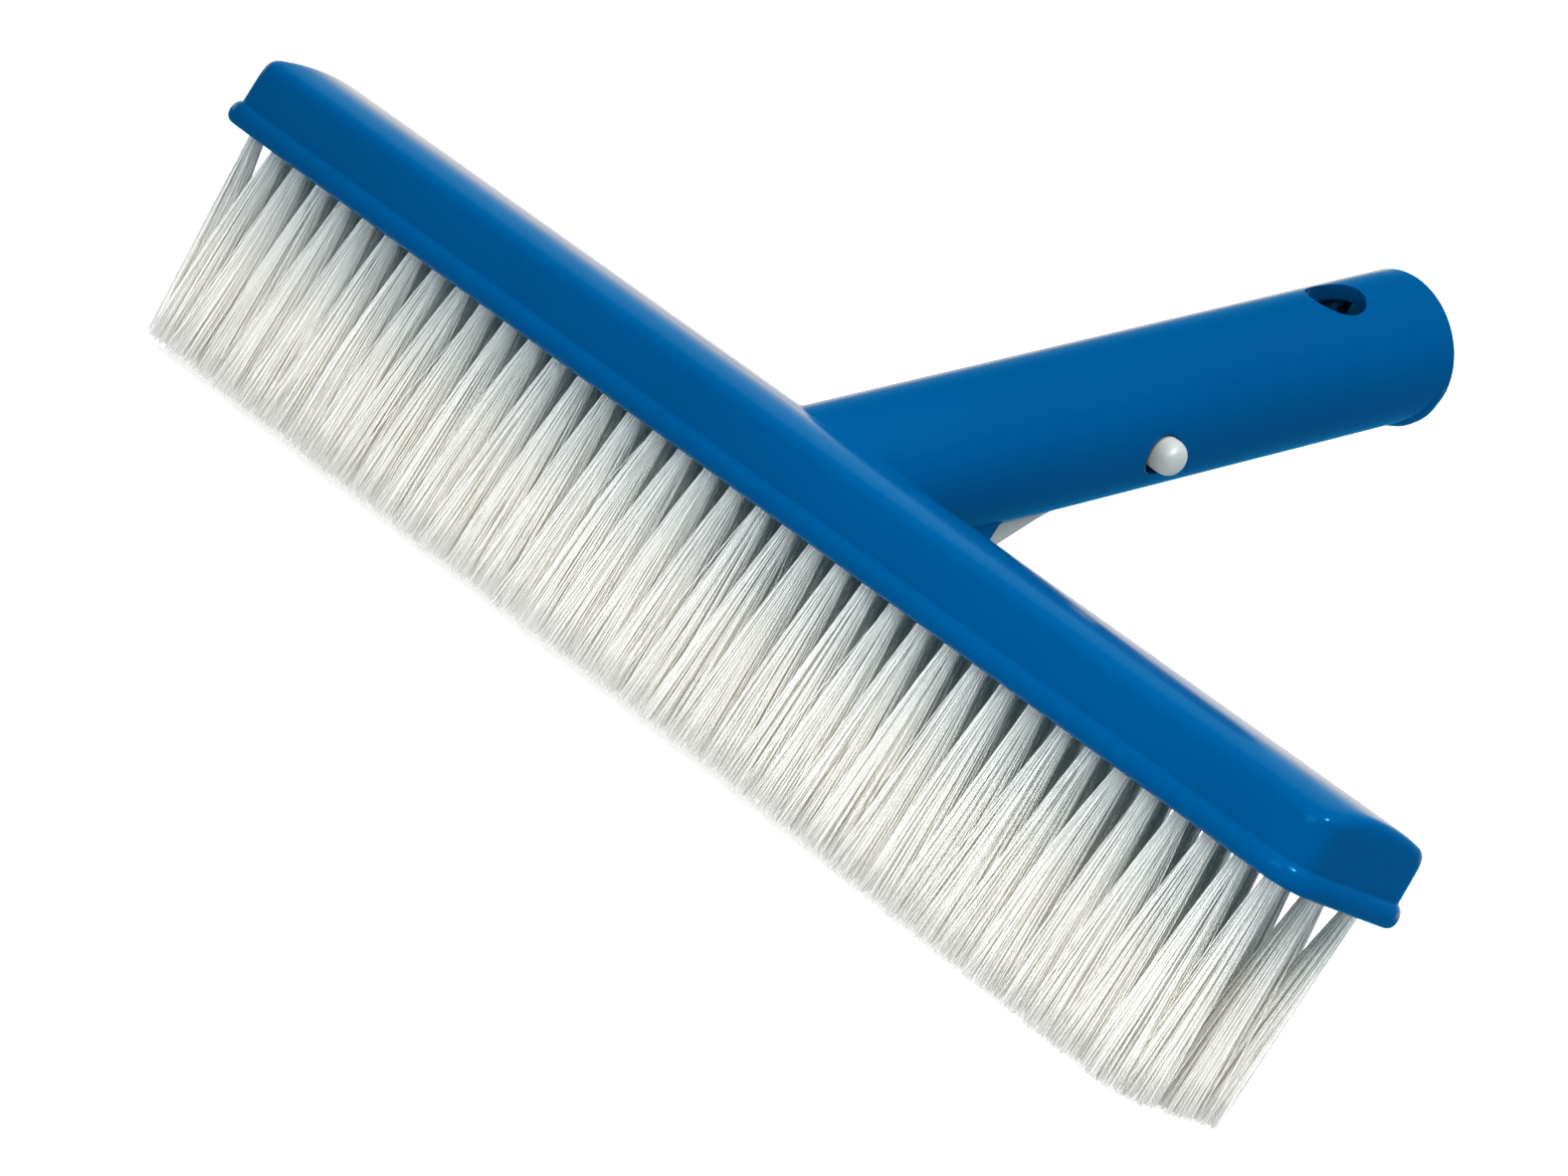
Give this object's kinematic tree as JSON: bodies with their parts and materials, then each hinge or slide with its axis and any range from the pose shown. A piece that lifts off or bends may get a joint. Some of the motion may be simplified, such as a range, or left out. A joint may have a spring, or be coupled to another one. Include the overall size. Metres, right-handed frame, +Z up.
{
  "type": "pool wall brush",
  "caption": "Pool wall brush: a long domed blue back set with dense white bristle tufts, and an angled hollow pole handle with a spring clip and push buttons.",
  "frame": {"origin": "middle of the bounding box in X and Y, at the bristle tips", "axes": "+X along the head, +Y the way the handle leans back, +Z up from the bristle tips to the back"},
  "size_m": [0.266, 0.1546, 0.1179],
  "materials": {
    "blue_plastic": "glossy moulded polypropylene",
    "clip_plastic": "satin moulded acetal",
    "nylon": "bundled nylon filament"
  },
  "bodies": {
    "head": {"brush_back": "blue_plastic", "clip_bridge": "clip_plastic", "tuft_column_01": "nylon", "tuft_column_02": "nylon", "tuft_column_03": "nylon", "tuft_column_04": "nylon", "tuft_column_05": "nylon", "tuft_column_06": "nylon", "tuft_column_07": "nylon", "tuft_column_08": "nylon", "tuft_column_09": "nylon", "tuft_column_10": "nylon", "tuft_column_11": "nylon", "tuft_column_12": "nylon", "tuft_column_13": "nylon", "tuft_column_14": "nylon", "tuft_column_15": "nylon", "tuft_column_16": "nylon", "tuft_column_17": "nylon", "tuft_column_18": "nylon", "tuft_column_19": "nylon", "tuft_column_20": "nylon", "tuft_column_21": "nylon", "tuft_column_22": "nylon", "tuft_column_23": "nylon", "tuft_column_24": "nylon", "tuft_column_25": "nylon", "tuft_column_26": "nylon", "tuft_column_27": "nylon", "tuft_column_28": "nylon", "tuft_column_29": "nylon", "tuft_column_30": "nylon", "tuft_column_31": "nylon", "tuft_column_32": "nylon", "tuft_column_33": "nylon", "tuft_column_34": "nylon", "tuft_column_35": "nylon", "tuft_column_36": "nylon", "tuft_column_37": "nylon", "tuft_column_38": "nylon", "tuft_column_39": "nylon"},
    "right_arm": {"clip_arm_right": "clip_plastic"},
    "left_arm": {"clip_arm_left": "clip_plastic"}
  },
  "joints": [
    {"name": "right_button_press", "type": "hinge", "parent": "head", "child": "right_arm", "pos_m": [0.0025, 0.04338, 0.09164], "axis": [0, 0.4633, -0.8862], "range_deg": [0, 3.6], "stiffness_Nm_per_rad": 0.6},
    {"name": "left_button_press", "type": "hinge", "parent": "head", "child": "left_arm", "pos_m": [-0.0025, 0.04338, 0.09164], "axis": [0, -0.4633, 0.8862], "range_deg": [0, 3.6], "stiffness_Nm_per_rad": 0.6}
  ],
  "couplings": [
    {"joint": "left_button_press", "follows": "right_button_press", "ratio": 1}
  ]
}
